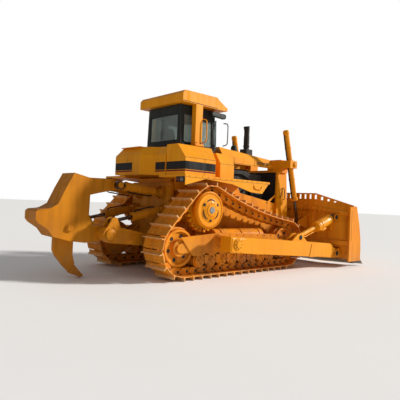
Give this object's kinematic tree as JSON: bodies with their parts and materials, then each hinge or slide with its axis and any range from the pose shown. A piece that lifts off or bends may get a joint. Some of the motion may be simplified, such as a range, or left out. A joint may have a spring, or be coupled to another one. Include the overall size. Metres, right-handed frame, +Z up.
{
  "type": "bulldozer",
  "caption": "Large crawler tractor with a raised rear drive sprocket, closed cab, semi-U blade on outside push arms and a single-shank parallelogram ripper.",
  "frame": {"origin": "centre of the machine's bounding box, on the ground under the track grousers", "axes": "+X forward to the blade, +Y to the machine's left, +Z up"},
  "size_m": [8.4901, 4.314, 3.97],
  "materials": {
    "yellow_paint": "satin enamel, a little dusty",
    "track_paint": "matt, worn on the running faces",
    "dark_paint": "satin black",
    "dark_cast": "oily, dark",
    "cab_trim": "matt",
    "cab_glass": "clear, tinted green",
    "chrome_rod": "polished",
    "edge_steel": "worn bare steel"
  },
  "bodies": {
    "tractor": {"cab_console": "cab_trim", "cab_shell": "dark_paint", "engine": "dark_cast", "exhaust_stack": "dark_paint", "fender_left": "yellow_paint", "fender_right": "yellow_paint", "front_box_right": "yellow_paint", "front_idler_left": "track_paint", "front_idler_right": "track_paint", "hood": "yellow_paint", "main_frame": "yellow_paint", "quarter_window_left": "cab_glass", "quarter_window_right": "cab_glass", "radiator_core": "dark_cast", "radiator_grille": "dark_paint", "radiator_guard": "yellow_paint", "rear_idler_left": "track_paint", "rear_idler_right": "track_paint", "rear_tank": "yellow_paint", "rear_window": "cab_glass", "ripper_mount": "yellow_paint", "rops": "yellow_paint", "seat": "cab_trim", "side_tank_left": "yellow_paint", "side_tank_right": "yellow_paint", "sprocket_left": "yellow_paint", "sprocket_right": "yellow_paint", "track_frame_left": "yellow_paint", "track_frame_right": "yellow_paint", "track_left": "track_paint", "track_right": "track_paint", "windshield": "cab_glass"},
    "push_arms": {"push_arm_left": "yellow_paint", "push_arm_right": "yellow_paint"},
    "blade": {"blade": "yellow_paint", "cutting_edge": "edge_steel", "spill_guard": "yellow_paint"},
    "lift_barrels": {"lift_barrel_left": "yellow_paint", "lift_barrel_right": "yellow_paint"},
    "lift_rods": {"lift_rod_left": "chrome_rod", "lift_rod_right": "chrome_rod"},
    "tilt_barrels": {"tilt_barrel_left": "yellow_paint", "tilt_barrel_right": "yellow_paint"},
    "tilt_rods": {"tilt_rod_left": "chrome_rod", "tilt_rod_right": "chrome_rod"},
    "door_left": {"door_left": "dark_paint", "door_left_glass": "cab_glass"},
    "door_right": {"door_right": "dark_paint", "door_right_glass": "cab_glass"},
    "ripper_link": {"ripper_link": "yellow_paint"},
    "ripper_pin": {"ripper_pin": "chrome_rod"},
    "ripper_carrier": {"ripper_carrier": "yellow_paint", "ripper_shank": "yellow_paint"},
    "ripper_lift_barrels": {"ripper_lift_barrels": "yellow_paint"},
    "ripper_lift_rods": {"ripper_lift_rod_left": "chrome_rod", "ripper_lift_rod_right": "chrome_rod"},
    "ripper_tilt_barrels": {"ripper_tilt_barrels": "yellow_paint"},
    "ripper_tilt_rods": {"ripper_tilt_rod_left": "chrome_rod", "ripper_tilt_rod_right": "chrome_rod"}
  },
  "joints": [
    {"name": "blade_lift", "type": "hinge", "parent": "tractor", "child": "push_arms", "pos_m": [-0.75, 0, 0.74], "axis": [0, -1, 0], "range_deg": [-8, 8.5]},
    {"name": "blade_pitch", "type": "hinge", "parent": "push_arms", "child": "blade", "pos_m": [3.25, 0, 0.36], "axis": [0, -1, 0], "range_deg": [-5, 5]},
    {"name": "lift_barrel_swing", "type": "hinge", "parent": "tractor", "child": "lift_barrels", "pos_m": [2.32, 0, 2.67], "axis": [0, -1, 0], "range_deg": [-3.2, 3.2]},
    {"name": "lift_rod_slide", "type": "slide", "parent": "lift_barrels", "child": "lift_rods", "axis": [0.2747, 0, -0.9615], "range_m": [-0.53, 0.5]},
    {"name": "tilt_barrel_swing", "type": "hinge", "parent": "push_arms", "child": "tilt_barrels", "pos_m": [1.57, 0, 0.82], "axis": [0, -1, 0], "range_deg": [-1, 1]},
    {"name": "tilt_rod_slide", "type": "slide", "parent": "tilt_barrels", "child": "tilt_rods", "axis": [0.957, 0, 0.29], "range_m": [-0.085, 0.085]},
    {"name": "ripper_lift", "type": "hinge", "parent": "tractor", "child": "ripper_link", "pos_m": [-1.89, 0, 0.73], "axis": [0, 1, 0], "range_deg": [-42, 25]},
    {"name": "ripper_parallel", "type": "hinge", "parent": "ripper_link", "child": "ripper_pin", "pos_m": [-2.95, 0, 0.88], "axis": [0, 1, 0], "range_deg": [-26, 43]},
    {"name": "ripper_pitch", "type": "hinge", "parent": "ripper_pin", "child": "ripper_carrier", "pos_m": [-2.95, 0, 0.88], "axis": [0, -1, 0], "range_deg": [0, 22]},
    {"name": "ripper_lift_barrel_swing", "type": "hinge", "parent": "tractor", "child": "ripper_lift_barrels", "pos_m": [-1.67, 0, 1.37], "axis": [0, 1, 0], "range_deg": [-31, 19]},
    {"name": "ripper_lift_rod_slide", "type": "slide", "parent": "ripper_lift_barrels", "child": "ripper_lift_rods", "axis": [-0.9806, 0, -0.1961], "range_m": [-0.23, 0.38]},
    {"name": "ripper_tilt_barrel_swing", "type": "hinge", "parent": "tractor", "child": "ripper_tilt_barrels", "pos_m": [-1.67, 0, 1.74], "axis": [0, 1, 0], "range_deg": [-46, 28]},
    {"name": "ripper_tilt_rod_slide", "type": "slide", "parent": "ripper_tilt_barrels", "child": "ripper_tilt_rods", "axis": [-0.995, 0, 0.0995], "range_m": [0, 0.39]},
    {"name": "door_left_hinge", "type": "hinge", "parent": "tractor", "child": "door_left", "pos_m": [-0.292, 0.61786, 2.74], "axis": [0, 0, -1], "range_deg": [0, 90]},
    {"name": "door_right_hinge", "type": "hinge", "parent": "tractor", "child": "door_right", "pos_m": [-0.292, -0.61786, 2.74], "axis": [0, 0, 1], "range_deg": [0, 90]}
  ],
  "couplings": [
    {"joint": "lift_barrel_swing", "follows": "blade_lift", "ratio": 0.35},
    {"joint": "lift_rod_slide", "follows": "blade_lift", "m_per_rad": -3.48},
    {"joint": "tilt_barrel_swing", "follows": "blade_pitch", "ratio": 0.145},
    {"joint": "tilt_rod_slide", "follows": "blade_pitch", "m_per_rad": -0.927},
    {"joint": "ripper_parallel", "follows": "ripper_lift", "ratio": -1},
    {"joint": "ripper_lift_barrel_swing", "follows": "ripper_lift", "ratio": 0.7},
    {"joint": "ripper_lift_rod_slide", "follows": "ripper_lift", "m_per_rad": -0.5},
    {"joint": "ripper_tilt_barrel_swing", "follows": "ripper_lift", "ratio": 1.05},
    {"joint": "ripper_tilt_rod_slide", "follows": "ripper_pitch", "m_per_rad": 0.98}
  ]
}
